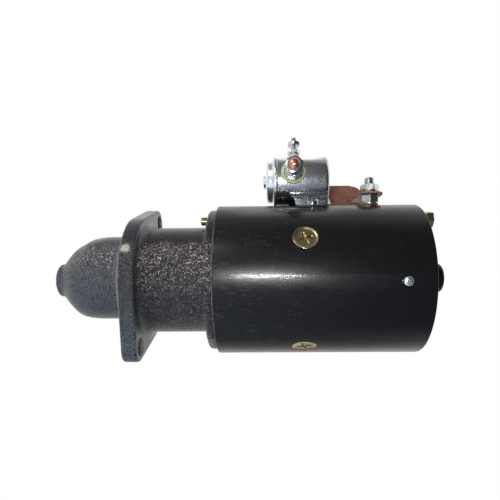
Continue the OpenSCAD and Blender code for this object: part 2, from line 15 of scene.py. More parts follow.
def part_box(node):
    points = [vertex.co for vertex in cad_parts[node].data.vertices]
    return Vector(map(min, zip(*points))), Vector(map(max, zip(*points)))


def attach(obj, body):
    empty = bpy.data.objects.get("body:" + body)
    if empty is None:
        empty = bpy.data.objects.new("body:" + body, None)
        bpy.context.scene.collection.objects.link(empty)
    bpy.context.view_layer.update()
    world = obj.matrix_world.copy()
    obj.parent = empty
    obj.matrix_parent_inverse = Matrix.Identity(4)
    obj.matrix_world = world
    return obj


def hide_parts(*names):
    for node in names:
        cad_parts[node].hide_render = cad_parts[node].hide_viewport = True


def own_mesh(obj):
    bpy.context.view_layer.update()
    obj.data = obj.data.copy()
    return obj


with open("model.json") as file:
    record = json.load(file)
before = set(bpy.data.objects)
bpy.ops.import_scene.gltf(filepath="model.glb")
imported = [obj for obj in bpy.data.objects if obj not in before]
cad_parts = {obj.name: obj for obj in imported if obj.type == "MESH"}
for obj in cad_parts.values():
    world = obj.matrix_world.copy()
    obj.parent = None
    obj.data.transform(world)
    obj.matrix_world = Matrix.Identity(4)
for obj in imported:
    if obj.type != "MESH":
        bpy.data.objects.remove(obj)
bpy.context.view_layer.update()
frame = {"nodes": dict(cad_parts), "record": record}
nodes = frame["nodes"]

MM = 0.001
TAU = 2 * math.pi
EAR_PHI = 122  # clock position of a flange ear
# Pale spots on the casting, as (centre, radius): the first two, on the flange rim and the barrel, are painted glints
# of a lamp; the third is a small pale spot near the plate.
GLINTS_AND_SPOTS = (((0.0045, -0.0440, 0.0225), 0.0042), ((0.0300, -0.0345, 0.0215), 0.0016), ((0.0640, -0.0480, 0.0030), 0.0012))
BOLTS = next(m for m in frame["record"]["mounts"] if m["name"] == "flange_bolts")["dims"]


# ---- Camera, floor and light ---------------------------------------------------------------------

def make_camera():
    """A camera level with the shaft, 0.357 m in front of it, with a slight turn, tilt and roll."""
    data = bpy.data.cameras.new("camera")
    data.sensor_width = 36
    data.lens = 32.489
    data.shift_x, data.shift_y = -0.0156, 0.0475
    data.clip_start, data.clip_end = 0.01, 20
    camera = bpy.data.objects.new("camera", data)
    bpy.context.scene.collection.objects.link(camera)
    yaw, pitch, roll = -0.018, 0.012, 0.007
    side = Vector((math.cos(yaw), -math.sin(yaw), 0))
    rise = Vector((-math.sin(pitch) * math.sin(yaw), -math.sin(pitch) * math.cos(yaw), math.cos(pitch)))
    right = math.cos(roll) * side - math.sin(roll) * rise
    up = math.sin(roll) * side + math.cos(roll) * rise
    turn = Matrix((right, up, right.cross(up))).transposed()
    camera.matrix_world = Matrix.Translation((0.10263, -0.35681, 0)) @ turn.to_4x4()
    bpy.context.scene.camera = camera


def seen_only_by_camera(obj):
    obj.visible_diffuse = obj.visible_glossy = obj.visible_transmission = False
    obj.visible_shadow = False


def glow(name, color, strength):
    """A plain light-giving material for the floor and the backdrop."""
    material = bpy.data.materials.new(name)
    material.use_nodes = True
    tree = material.node_tree
    tree.nodes.clear()
    emission = tree.nodes.new("ShaderNodeEmission")
    emission.inputs["Color"].default_value = (*color, 1)
    emission.inputs["Strength"].default_value = strength
    out = tree.nodes.new("ShaderNodeOutputMaterial")
    tree.links.new(emission.outputs[0], out.inputs["Surface"])
    return material


def make_stage():
    """A white dome and a pale floor; neither lights the object."""
    bpy.ops.mesh.primitive_uv_sphere_add(segments=48, ring_count=24, radius=6)
    dome = bpy.context.object
    dome.name = "backdrop"
    dome.data.materials.append(glow("backdrop", (1, 1, 1), 1.0))
    bpy.ops.mesh.primitive_plane_add(size=8, location=(0.1, 0, -0.24))
    floor = bpy.context.object
    floor.name = "floor"
    floor.data.materials.append(glow("floor", (1, 1, 1), 1.0))
    for obj in (dome, floor):
        seen_only_by_camera(obj)


def make_world():
    """White paper behind, dimmer overhead, and in front a dim room over a pale floor.

    The room is bright to its left and dark to its right.
    """
    world = bpy.data.worlds.new("studio")
    bpy.context.scene.world = world
    world.use_nodes = True
    tree = world.node_tree
    split = tree.nodes.new("ShaderNodeSeparateXYZ")
    tree.links.new(tree.nodes.new("ShaderNodeTexCoord").outputs["Generated"], split.inputs[0])

    def ramp(axis, *stops):
        """A colour by one component of the direction, from -1 to 1."""
        centred = tree.nodes.new("ShaderNodeMapRange")
        centred.inputs["From Min"].default_value = -1
        tree.links.new(split.outputs[axis], centred.inputs["Value"])
        node = tree.nodes.new("ShaderNodeValToRGB")
        elements = node.color_ramp.elements
        while len(elements) < len(stops):
            elements.new(0.5)
        for element, (place, color) in zip(elements, stops):
            element.position = (place + 1) / 2
            element.color = (*color, 1) if isinstance(color, tuple) else (color, color, color, 1)
        tree.links.new(centred.outputs[0], node.inputs[0])
        return node.outputs[0]

    def mix(blend, share, first, second):
        node = tree.nodes.new("ShaderNodeMix")
        node.data_type, node.blend_type = "RGBA", blend
        if isinstance(share, float):
            node.inputs["Factor"].default_value = share
        else:
            tree.links.new(share, node.inputs["Factor"])
        tree.links.new(first, node.inputs[6])
        tree.links.new(second, node.inputs[7])
        return node.outputs[2]

    sideways = ramp("X", (-1, 1.0), (-0.6, 0.95), (-0.25, 0.42), (0.05, 0.30), (0.35, 0.12), (1, 0.06))
    height = ramp("Z", (-1, (1.0, 1.15, 1.4)), (-0.4, (1.0, 1.15, 1.4)), (-0.08, (0.55, 0.6, 0.68)), (0.2, 0.56),
                  (0.6, 0.64), (1, 0.56))
    paper = ramp("Z", (-1, 0.25), (-0.8, 0.5), (-0.6, 0.9), (0.55, 1.0), (0.8, 0.66), (1, 0.32))
    behind = ramp("Y", (-0.16, 0.0), (0.14, 1.0))
    room = mix("MULTIPLY", 1.0, sideways, height)
    tree.links.new(mix("MIX", behind, room, paper), tree.nodes["Background"].inputs["Color"])


def area_light(name, place, target, width, height, power, color=(1, 1, 1)):
    data = bpy.data.lights.new(name, "AREA")
    data.shape = "RECTANGLE"
    data.size, data.size_y = width, height
    data.energy = power
    data.color = color
    light = bpy.data.objects.new(name, data)
    bpy.context.scene.collection.objects.link(light)
    light.location = place
    light.rotation_euler = (Vector(target) - Vector(place)).to_track_quat("-Z", "Y").to_euler()


def make_lights():
    """A narrow strip close to the camera, a warm lamp high on the left and a weak card above the switch."""
    area_light("flash", (0.066, -0.43, 0.033), (0.09, 0, 0), width=0.10, height=0.012, power=1.1)
    area_light("lamp", (-0.3, -0.55, 0.6), (0.06, 0, 0), width=0.35, height=0.25, power=1.1, color=(1.0, 0.95, 0.9))
    area_light("card", (0.12, 0.13, 0.28), (0.13, 0.02, 0.09), width=0.14, height=0.12, power=0.035)


# ---- Materials -----------------------------------------------------------------------------------

class Finish:
    """One procedural material on a Principled shader, in object coordinates."""

    def __init__(self, name, color, metallic, roughness, **sockets):
        self.material = bpy.data.materials.new(name)
        self.material.use_nodes = True
        self.tree = self.material.node_tree
        self.shader = self.tree.nodes["Principled BSDF"]
        self.shader.inputs["Base Color"].default_value = (*color, 1)
        self.shader.inputs["Metallic"].default_value = metallic
        self.shader.inputs["Roughness"].default_value = roughness
        for socket, value in sockets.items():
            self.shader.inputs[socket.replace("_", " ")].default_value = value
        self.place = self.tree.nodes.new("ShaderNodeTexCoord").outputs["Object"]
        self.normal = None

    def add(self, kind, **values):
        node = self.tree.nodes.new(kind)
        for name, value in values.items():
            setattr(node, name, value)
        return node

    def put(self, value, socket):
        """Links an output to a socket, or sets the socket to a plain value."""
        if isinstance(value, bpy.types.NodeSocket):
            self.tree.links.new(value, socket)
        else:
            socket.default_value = value

    def stretched(self, scale):
        mapping = self.add("ShaderNodeMapping")
        mapping.inputs["Scale"].default_value = scale
        self.put(self.place, mapping.inputs["Vector"])
        return mapping.outputs[0]

    def noise(self, size, detail=3.0, rough=0.55, stretch=(1, 1, 1)):
        """Soft noise with features about size metres across."""
        node = self.add("ShaderNodeTexNoise")
        node.inputs["Scale"].default_value = 1 / size
        node.inputs["Detail"].default_value = detail
        node.inputs["Roughness"].default_value = rough
        self.put(self.stretched(stretch), node.inputs["Vector"])
        return node.outputs["Fac"]

    def ramp(self, value, *stops):
        """Maps 0..1 to colours or greys: stops are (position, colour or grey)."""
        node = self.add("ShaderNodeValToRGB")
        elements = node.color_ramp.elements
        while len(elements) < len(stops):
            elements.new(0.5)
        for element, (position, color) in zip(elements, stops):
            element.position = position
            element.color = (*color, 1) if isinstance(color, tuple) else (color, color, color, 1)
        self.put(value, node.inputs["Fac"])
        return node.outputs["Color"]

    def mix(self, share, first, second):
        node = self.add("ShaderNodeMix", data_type="RGBA")
        self.put(share, node.inputs["Factor"])
        for value, socket in ((first, node.inputs[6]), (second, node.inputs[7])):
            self.put((*value, 1) if isinstance(value, tuple) else value, socket)
        return node.outputs[2]

    def split(self, vector):
        node = self.add("ShaderNodeSeparateXYZ")
        self.put(vector, node.inputs[0])
        return node.outputs

    def span(self, value, start, end):
        """Where a value stands between start and end, as 0 to 1."""
        node = self.add("ShaderNodeMapRange")
        node.inputs["From Min"].default_value, node.inputs["From Max"].default_value = start, end
        self.put(value, node.inputs["Value"])
        return node.outputs[0]

    def band(self, value, start, end):
        """1 between start and end, 0 outside."""
        return self.maths("MULTIPLY", self.maths("GREATER_THAN", value, start), self.maths("LESS_THAN", value, end))

    def pale_spot(self, spot, radius):
        """1 inside a ragged pale spot; the spots mostly stand for painted glints of a lamp."""
        offset = self.add("ShaderNodeVectorMath", operation="DISTANCE")
        self.put(self.place, offset.inputs[0])
        offset.inputs[1].default_value = spot
        ragged = self.maths("ADD", offset.outputs["Value"], self.maths("MULTIPLY", self.noise(0.0018, 3), 0.004))
        return self.ramp(self.span(ragged, radius, radius + 0.002), (0.0, 0.85), (1.0, 0.0))

    def near_axis(self, y, z, side):
        """1 on the wall of a flange hole, 0 elsewhere."""
        angle, distance = math.radians(EAR_PHI), BOLTS["pcd_mm"] / 2 * MM * side
        off_y = self.maths("SUBTRACT", y, -distance * math.cos(angle))
        off_z = self.maths("SUBTRACT", z, distance * math.sin(angle))
        square = self.maths("ADD", self.maths("MULTIPLY", off_y, off_y), self.maths("MULTIPLY", off_z, off_z))
        return self.maths("LESS_THAN", square, (BOLTS["hole_r_mm"] * MM + 0.0004) ** 2)

    def maths(self, operation, first, second):
        node = self.add("ShaderNodeMath", operation=operation)
        self.put(first, node.inputs[0])
        self.put(second, node.inputs[1])
        return node.outputs[0]

    def bump(self, height, depth, strength=1.0):
        """Stacks a relief of the given depth in metres on what is there."""
        node = self.add("ShaderNodeBump")
        node.inputs["Strength"].default_value = strength
        node.inputs["Distance"].default_value = depth
        self.put(height, node.inputs["Height"])
        if self.normal is not None:
            self.put(self.normal, node.inputs["Normal"])
        self.normal = node.outputs[0]
        self.put(self.normal, self.shader.inputs["Normal"])

    def color(self, value):
        self.put(value, self.shader.inputs["Base Color"])

    def roughness(self, value):
        self.put(value, self.shader.inputs["Roughness"])


def black_enamel():
    """Black paint under a thin wavy coat; pale dust nibs and scuffs thin out towards the commutator end. They gather
    at the drive end, where the flash's long highlight lies, so they are partly real wear and partly a painted
    highlight.
    """
    f = Finish("black_enamel", (0.008, 0.008, 0.0095), 0, 0.3, IOR=1.35, Coat_Weight=0.18, Coat_Roughness=0.08)
    dust = f.ramp(f.noise(0.0016, 4, 0.7), (0.57, 0.0), (0.72, 1.0))
    patch = f.ramp(f.noise(0.03, 3), (0.35, 0.15), (0.7, 1.0))
    x = f.split(f.place)[0]
    # Fades from the drive end towards the commutator end, following the flash's highlight: partly real wear, partly a
    # painted highlight.
    wear_and_sheen_falloff = f.ramp(f.span(x, 0.066, 0.2), (0.1, 1.0), (0.6, 0.25), (1.0, 0.1))
    scratches = f.ramp(f.noise(0.0022, 4, 0.75, stretch=(0.35, 1, 1)), (0.55, 0.0), (0.66, 1.0))
    scuffs = f.maths("MULTIPLY", scratches, f.ramp(f.noise(0.016, 4, 0.6), (0.45, 0.0), (0.65, 0.8)))
    # Pale dust and scuffs on the paint: real, but gathered where the flash reflects, so partly a painted highlight.
    marks_and_sheen = f.maths("MULTIPLY", f.maths("MAXIMUM", f.maths("MULTIPLY", dust, patch), scuffs), wear_and_sheen_falloff)
    f.color(f.mix(marks_and_sheen, (0.0058, 0.006, 0.0072), (0.075, 0.070, 0.068)))
    streaks = f.noise(0.002, 4, 0.65, stretch=(0.12, 1, 1))
    f.roughness(f.ramp(f.mix(0.5, streaks, f.noise(0.012, 4)), (0.3, 0.24), (0.7, 0.36)))
    f.bump(f.noise(0.0018, 4, 0.65, stretch=(0.3, 1, 1)), 0.00005, 0.7)
    f.bump(f.noise(0.0016, 3, 0.7), 0.00007, 0.7)
    f.bump(f.noise(0.007, 2), 0.00006, 0.4)
    f.put(f.normal, f.shader.inputs["Coat Normal"])
    return f.material


def cast_black():
    """Sand-cast iron under thin black paint: grainy, with a band of tan specks across the front that are painted
    glints of the flash, painted shade in the grain's pits, a painted bluish reflection low on the flange, pale spots
    that are mostly painted glints, and bare where machined, the bolt-hole walls lightened partly as painted light.
    """
    f = Finish("cast_black", (0.06, 0.06, 0.07), 0, 0.4, IOR=1.5)
    x, y, z = f.split(f.place)
    grain = f.noise(0.0011, 3, 0.6)
    fine = f.noise(0.0009, 4, 0.6)
    ragged = f.maths("ADD", z, f.maths("MULTIPLY", f.maths("SUBTRACT", f.noise(0.005, 3), 0.5), 0.016))
    sandy = f.ramp(f.span(ragged, -0.045, 0.045), (0.05, 0.4), (0.35, 0.75), (0.5, 1.0), (0.76, 1.0), (0.80, 0.1))
    # A band across the front where the flash glints on the grain: it places the painted highlight specks.
    speck_glint_band = f.ramp(f.span(ragged, -0.045, 0.045), (0.36, 0.22), (0.55, 0.8), (0.66, 1.0), (0.76, 1.0), (0.80, 0.05))
    on_nose = f.ramp(f.span(x, -0.012, 0.002), (0.4, 1.0), (0.6, 0.0))
    on_flange = f.band(x, -0.001, 0.0125)
    paint = f.mix(on_nose, (0.013, 0.0145, 0.019), (0.070, 0.077, 0.094))
    # Lower flange made paler and bluer: a painted reflection of the bluish light below.
    low_flange_sheen = f.maths("MULTIPLY", on_flange, f.ramp(f.span(z, -0.06, -0.02), (0.0, 1.0), (1.0, 0.0)))
    paint = f.mix(on_flange, paint, (0.034, 0.039, 0.047))
    paint = f.mix(low_flange_sheen, paint, (0.095, 0.118, 0.15))
    paint = f.mix(f.ramp(f.noise(0.009, 4, 0.6), (0.4, 0.0), (0.7, 0.5)), paint, (0.058, 0.062, 0.070))
    # Dark pits where the grain, and so the relief, is lowest: painted shade in the recesses.
    paint = f.mix(f.maths("MULTIPLY", f.ramp(grain, (0.42, 1.0), (0.52, 0.0)), 0.9), paint, (0.008, 0.009, 0.011))
    # Tan specks: painted glints of the flash on the rough casting, fewer on the flange.
    glint_specks = f.maths("MULTIPLY", f.ramp(grain, (0.555, 0.0), (0.59, 1.0)), speck_glint_band)
    glint_specks = f.maths("MULTIPLY", glint_specks, f.ramp(f.noise(0.004, 2), (0.35, 0.35), (0.6, 1.0)))
    glint_specks = f.maths("MULTIPLY", glint_specks, f.mix(on_flange, (1.0,) * 3, (0.2,) * 3))
    # On the nose the painted glints keep to a band at the flash's height.
    nose_glint_band = f.ramp(f.span(ragged, 0.0, 0.04), (0.15, 0.2), (0.4, 0.8), (0.55, 0.8), (0.75, 0.1))
    glint_specks = f.maths("MULTIPLY", glint_specks, f.mix(on_nose, (1.0,) * 3, nose_glint_band))
    # Painted glint colour, a pinkish tan, laid over the paint.
    color = f.mix(glint_specks, paint, f.mix(f.noise(0.006, 2), (0.66, 0.50, 0.47), (0.66, 0.60, 0.52)))
    edge = f.band(x, -0.0006, 0.0006)
    seam = f.band(x, 0.0655, 0.0668)
    pilot = f.band(x, -0.0052, -0.0002)
    bare = f.maths("MAXIMUM", f.maths("MAXIMUM", f.maths("MULTIPLY", edge, 0.8), f.maths("MULTIPLY", seam, 0.6)),
                   f.maths("MULTIPLY", pilot, 0.35))
    # Bolt-hole walls paler: bare machined iron, lightened also to stand in for the flash lighting the walls, so partly
    # painted light.
    for side in (1, -1):
        bare = f.maths("MAXIMUM", bare, f.maths("MULTIPLY", f.near_axis(y, z, side), 0.3))
    color = f.mix(bare, color, (0.40, 0.34, 0.31))
    # Pale spots, mostly painted glints of a lamp on the flange rim and the barrel.
    for spot, radius in GLINTS_AND_SPOTS:
        color = f.mix(f.pale_spot(spot, radius), color, f.mix(f.noise(0.0012, 3), (0.45, 0.38, 0.32), (0.9, 0.82, 0.72)))
    f.color(color)
    f.roughness(f.mix(sandy, (0.19,) * 3, f.ramp(f.noise(0.004, 4), (0.3, 0.26), (0.7, 0.38))))
    f.bump(f.maths("MULTIPLY", grain, f.maths("MULTIPLY", sandy, f.mix(on_nose, (1.0,) * 3, (0.6,) * 3))), 0.0015, 1.0)
    f.bump(f.maths("MULTIPLY", fine, sandy), 0.0003, 0.8)
    return f.material


def plated(name, color, stain, rough=(0.12, 0.3), stain_share=0.5, grain_depth=0.00003, grain=0.0008,
           metallic=1.0):
    """Zinc or steel with fine grain, dull spots and a broad stain."""
    f = Finish(name, color, metallic, 0.2)
    spots = f.ramp(f.noise(0.0014, 4, 0.7), (0.44, 0.0), (0.62, 1.0))
    cloud = f.ramp(f.noise(0.011, 4, 0.6), (0.35, 0.0), (0.68, 1.0))
    f.color(f.mix(f.maths("MULTIPLY", f.mix(0.4, spots, cloud), stain_share), color, stain))
    f.roughness(f.ramp(f.mix(0.5, spots, cloud), (0.1, rough[0]), (0.9, rough[1])))
    f.bump(f.noise(grain, 3, 0.6), grain_depth, 0.7)
    return f.material


def insulation(name, color, second, rough):
    """Moulded or pressed insulating material with a fine mottle."""
    f = Finish(name, color, 0, rough, IOR=1.5)
    f.color(f.mix(f.ramp(f.noise(0.0022, 5, 0.65), (0.35, 0.0), (0.7, 1.0)), color, second))
    f.bump(f.noise(0.0007, 4), 0.00006, 0.7)
    return f.material


def taped_copper():
    """Cotton tape wound round a copper strip, soaked in brown varnish."""
    f = Finish("wrapped_copper", (0.2, 0.1, 0.05), 0, 0.45, IOR=1.5)
    wave = f.add("ShaderNodeTexWave", bands_direction="DIAGONAL")
    wave.inputs["Scale"].default_value = 60
    wave.inputs["Distortion"].default_value = 1.5
    f.put(f.place, wave.inputs["Vector"])
    f.color(f.mix(f.ramp(wave.outputs["Fac"], (0.2, 0.0), (0.8, 1.0)), (0.30, 0.17, 0.08), (0.13, 0.06, 0.03)))
    f.bump(wave.outputs["Fac"], 0.0004, 0.8)
    f.bump(f.noise(0.0008, 3), 0.00008, 0.5)
    return f.material


MATERIALS = {
    "black_enamel": black_enamel(),
    "cast_black": cast_black(),
    "iron": plated("iron", (0.34, 0.33, 0.33), (0.16, 0.12, 0.1), (0.3, 0.5), 0.8),
    "steel": plated("steel", (0.56, 0.56, 0.57), (0.34, 0.31, 0.28), (0.18, 0.34), 0.4),
    "spring_steel": plated("spring_steel", (0.26, 0.27, 0.31), (0.14, 0.12, 0.12), (0.22, 0.4), 0.6),
    "pale_gold": plated("pale_gold", (0.78, 0.72, 0.55), (0.5, 0.42, 0.28), (0.15, 0.3), 0.5),
    "zinc": plated("zinc", (0.78, 0.79, 0.80), (0.42, 0.41, 0.40), (0.14, 0.28), 0.5),
    "bright_zinc": plated("bright_zinc", (0.82, 0.86, 0.88), (0.36, 0.33, 0.33), (0.16, 0.34), 0.8, 0.00014, 0.0013),
    "folded_zinc": plated("folded_zinc", (0.62, 0.67, 0.69), (0.30, 0.31, 0.31), (0.1, 0.22), 0.8, 0.00005, 0.0025),
    "pale_zinc": plated("pale_zinc", (0.93, 0.96, 0.98), (0.68, 0.71, 0.74), (0.2, 0.34), 0.4, 0.00003, 0.003),
    "dark_gold": plated("dark_gold", (0.46, 0.38, 0.22), (0.18, 0.13, 0.07), (0.2, 0.4), 0.8, 0.00006, 0.0012),
    "yellow_zinc": plated("yellow_zinc", (0.62, 0.55, 0.33), (0.26, 0.21, 0.11), (0.18, 0.36), 0.95, 0.00012, 0.0016),
    "bronze": plated("bronze", (0.68, 0.48, 0.24), (0.36, 0.25, 0.13), (0.25, 0.42), 0.6),
    "commutator_copper": plated("commutator_copper", (0.78, 0.42, 0.27), (0.42, 0.2, 0.12), (0.2, 0.36), 0.5),
    "stud_copper": plated("stud_copper", (0.95, 0.45, 0.33), (0.62, 0.20, 0.14), (0.2, 0.36), 0.6),
    "winding_copper": plated("winding_copper", (0.55, 0.26, 0.12), (0.3, 0.12, 0.05), (0.25, 0.4), 0.5),
    "dull_copper": plated("dull_copper", (0.41, 0.185, 0.14), (0.12, 0.048, 0.037), (0.42, 0.6), 1.0, 0.00014, 0.0012,
                          metallic=0.35),
    "wrapped_copper": taped_copper(),
    "green_fibre": insulation("green_fibre", (0.46, 0.52, 0.27), (0.36, 0.42, 0.2), 0.42),
    "fibre": insulation("fibre", (0.16, 0.07, 0.045), (0.09, 0.04, 0.03), 0.5),
    "natural_plastic": insulation("natural_plastic", (0.60, 0.60, 0.57), (0.50, 0.50, 0.47), 0.4),
    "brush_carbon": insulation("brush_carbon", (0.12, 0.085, 0.07), (0.07, 0.055, 0.05), 0.6),
}


def dress(obj, slot):
    obj.data.materials.clear()
    obj.data.materials.append(MATERIALS[slot])


def finish_frame():
    """Gives every CAD node the material of its slot in the record, and small hardware soft edges."""
    for part in frame["record"]["subparts"]:
        dress(nodes[part["node"]], part["material_slot"])
    dress(nodes["through_bolts"], "dark_gold")
    for name, width in SOFT_EDGES.items():
        bevel = nodes[name].modifiers.new("soft_edges", "BEVEL")
        bevel.width = width * MM
        bevel.segments = 3
        bevel.limit_method = "ANGLE"
        bevel.angle_limit = math.radians(32)
        bevel.harden_normals = True


SOFT_EDGES = {
    "copper_strap": 0.4, "bracket_screws": 0.25, "through_bolts": 0.3, "brush_supports": 0.3,
    "brush_1": 0.3, "brush_2": 0.3, "brush_3": 0.3, "brush_4": 0.3, "drive_head": 0.5,
    "stop_nut": 0.5, "pinion": 0.3, "drive_barrel": 0.5, "control_nut": 0.4, "lock_washers": 0.2,
    "nose_bushing": 0.4, "end_bushing": 0.4, "thrust_washers": 0.2, "armature_shaft": 0.4,
}


# ---- Solid shapes, in millimetres until they become a piece --------------------------------------

def clock(phi):
    """Turns a shape that stands on the axis, outwards = +Z, to a clock position."""
    return Matrix.Rotation(math.radians(90 - phi), 4, "X")


def shift(x, y, z):
    return Matrix.Translation((x, y, z))


def turn(degrees, axis):
    return Matrix.Rotation(math.radians(degrees), 4, axis)


ALONG_X = turn(90, "Y")


def soften(points, radius, steps=4):
    """Rounds the corners of a closed outline, except where it meets the axis."""
    out = []
    for i, point in enumerate(points):
        before, here, after = (np.array(points[j % len(points)], float) for j in (i - 1, i, i + 1))
        back, on = before - here, after - here
        lengths = np.linalg.norm(back), np.linalg.norm(on)
        if point[0] == 0 or min(lengths) == 0:
            out.append(tuple(point))
            continue
        reach = min(radius, 0.45 * lengths[0], 0.45 * lengths[1])
        start, end = here + back / lengths[0] * reach, here + on / lengths[1] * reach
        for t in np.linspace(0, 1, steps):
            out.append(tuple((1 - t) ** 2 * start + 2 * t * (1 - t) * here + t * t * end))
    return out


def rings_to_solid(rings, closed=False):
    """Joins rings of equal length into a skin; a ring of one point is a pole."""
    verts, index = [], []
    for ring in rings:
        index.append(range(len(verts), len(verts) + len(ring)))
        verts.extend(tuple(point) for point in ring)
    steps = max(len(ring) for ring in rings)
    faces = []
    for low, high in zip(index, list(index[1:]) + (list(index[:1]) if closed else [])):
        for i in range(steps):
            j = (i + 1) % steps
            corners = [low[i % len(low)], low[j % len(low)], high[j % len(high)], high[i % len(high)]]
            corners = list(dict.fromkeys(corners))
            if len(corners) > 2:
                faces.append(corners)
    return verts, faces


def lathe(outline, steps=144, centre=None):
    """Turns an outline of (radius, height) about Z. It starts and ends on the axis, or is a closed loop."""
    angles = np.linspace(0, TAU, steps, endpoint=False)
    rings = []
    for r, z in outline:
        rise = centre(z) if centre else 0
        if r == 0:
            rings.append([(-rise, 0, z)])
        else:
            rings.append([(r * math.cos(a) - rise, r * math.sin(a), z) for a in angles])
    return rings_to_solid(rings, closed=outline[0][0] != 0)


def rod(radius, z0, z1, edge=0.3, steps=96):
    return lathe([(0, z0)] + soften([(0, z0), (radius, z0), (radius, z1), (0, z1)], edge)[1:-1] + [(0, z1)], steps)


def washer(outer, inner, z0, z1, edge=0.3, steps=96):
    return lathe(soften([(inner, z0), (outer, z0), (outer, z1), (inner, z1)], edge), steps)


def drill(radius, z0, z1, steps=32):
    """A plain cylinder to cut a hole with."""
    return lathe([(0, z0), (radius, z0), (radius, z1), (0, z1)], steps)


def block(low, high):
    xs, ys, zs = zip(low, high)
    verts = [(x, y, z) for z in zs for y in ys for x in xs]
    return verts, [(0, 2, 3, 1), (4, 5, 7, 6), (0, 1, 5, 4), (2, 6, 7, 3), (0, 4, 6, 2), (1, 3, 7, 5)]


def crossed(length, width, z0, z1):
    """Two bars that cut a crossed slot, given half their length and width."""
    return [block((-length, -width, z0), (length, width, z1)), block((-width, -length, z0), (width, length, z1))]


def prism(points, z0, z1):
    """A flat outline raised along Z."""
    count = len(points)
    verts = [(x, y, z) for z in (z0, z1) for x, y in points]
    sides = [(i, (i + 1) % count, count + (i + 1) % count, count + i) for i in range(count)]
    return verts, [tuple(range(count)), tuple(range(count, 2 * count))] + sides


def nut(across, z0, z1, bore, steps=120):
    """A hexagon nut, chamfered top and bottom, its corners a little rounded by wear."""
    flat = across / 2
    start = 0.96 * flat
    angles = np.linspace(0, TAU, steps, endpoint=False)
    reach = np.minimum(flat / np.cos((angles + math.pi / 6) % (math.pi / 3) - math.pi / 6), 1.135 * flat)
    drop = np.maximum(reach - start, 0) * 0.62

    def ring(radius, height):
        return np.column_stack((radius * np.cos(angles), radius * np.sin(angles), height + 0 * angles))

    return rings_to_solid([
        ring(bore, z0 + 0.5), ring(bore, z1 - 0.5), ring(bore + 0.45, z1), ring(start, z1),
        ring(reach, z1 - drop), ring(reach, z0 + drop), ring(start, z0), ring(bore + 0.45, z0)], closed=True)


def threaded(radius, z0, z1, pitch, plain_to=None, tip=0.9, steps=48, dome=0.0):
    """A stud with a rolled thread above plain_to and a chamfered or domed tip."""
    z1 -= dome
    plain_to = z0 if plain_to is None else plain_to
    depth = 0.55 * pitch
    angles = np.linspace(0, TAU, steps, endpoint=False)
    heights = [z0, plain_to] if plain_to > z0 else [z0]
    heights += list(np.arange(heights[-1] + 0.05, z1, pitch / 8)) + [z1]
    rings = [[(0, 0, z0)]]
    for z in heights:
        phase = (z / pitch - angles / TAU) % 1
        groove = depth * np.clip(1.5 * (1 - np.abs(2 * phase - 1)) - 0.25, 0, 1)
        if z <= plain_to:
            groove = groove * 0
        r = np.minimum(radius - groove, radius - max(0, z - z1 + tip))
        rings.append(np.column_stack((r * np.cos(angles), r * np.sin(angles), z + 0 * angles)))
    for share in (0.4, 0.75):
        r = (radius - tip) * math.cos(share * math.pi / 2)
        rings.append(np.column_stack((r * np.cos(angles), r * np.sin(angles), z1 + dome * share ** 0.6 + 0 * angles)))
    rings.append([(0, 0, z1 + dome)])
    return rings_to_solid(rings)


def coil(radius, wire, z0, z1, turns, steps=40, sides=12):
    """A round-wire helix with closed, nearly flat end turns."""
    count = int(turns * steps)
    rings = []
    for i in range(count + 1):
        share = i / count
        eased = np.interp(share, [0, 0.75 / turns, 1 - 0.75 / turns, 1], [0, 0.02, 0.98, 1])
        height = z0 + wire + (z1 - z0 - 2 * wire) * eased
        a = TAU * turns * share
        ring = []
        for k in range(sides):
            b = TAU * k / sides
            r = radius + wire * math.cos(b)
            ring.append((r * math.cos(a), r * math.sin(a), height + wire * math.sin(b)))
        rings.append(ring)
    middles = [tuple(np.mean(ring, axis=0)) for ring in (rings[0], rings[-1])]
    return rings_to_solid([[middles[0]]] + rings + [[middles[1]]])


def mesh_object(name, parts):
    """One object from (shape, place) pairs; places are matrices in millimetres."""
    bm = bmesh.new()
    for (verts, faces), place in parts:
        made = [bm.verts.new(place @ Vector(v) * MM) for v in verts]
        for face in faces:
            bm.faces.new([made[i] for i in face])
    bmesh.ops.recalc_face_normals(bm, faces=bm.faces)
    mesh = bpy.data.meshes.new(name)
    bm.to_mesh(mesh)
    bm.free()
    obj = bpy.data.objects.new(name, mesh)
    bpy.context.scene.collection.objects.link(obj)
    return obj


def settle(obj, angle=35):
    """Applies the object's modifiers and smooths its shading below an angle."""
    mesh = bpy.data.meshes.new_from_object(obj.evaluated_get(bpy.context.evaluated_depsgraph_get()))
    obj.modifiers.clear()
    obj.data = mesh
    mesh.polygons.foreach_set("use_smooth", [True] * len(mesh.polygons))
    mesh.set_sharp_from_angle(angle=math.radians(angle))


def carve(obj, cutters):
    """Cuts (shape, place) pairs out of an object."""
    tools = [mesh_object("cutter", [cutter]) for cutter in cutters]
    for tool in tools:
        cut = obj.modifiers.new("cut", "BOOLEAN")
        cut.operation, cut.solver, cut.object = "DIFFERENCE", "EXACT", tool
    settle(obj)
    for tool in tools:
        bpy.data.objects.remove(tool)


def piece(name, slot, body, replaced, parts, cutters=(), angle=35):
    """A visible piece that stands for one or more CAD nodes."""
    obj = mesh_object(name, parts)
    if cutters:
        carve(obj, cutters)
    settle(obj, angle)
    return enter(obj, slot, body, replaced)


def enter(obj, slot, body, replaced):
    dress(obj, slot)
    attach(obj, body)
    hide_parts(*replaced)
    return obj


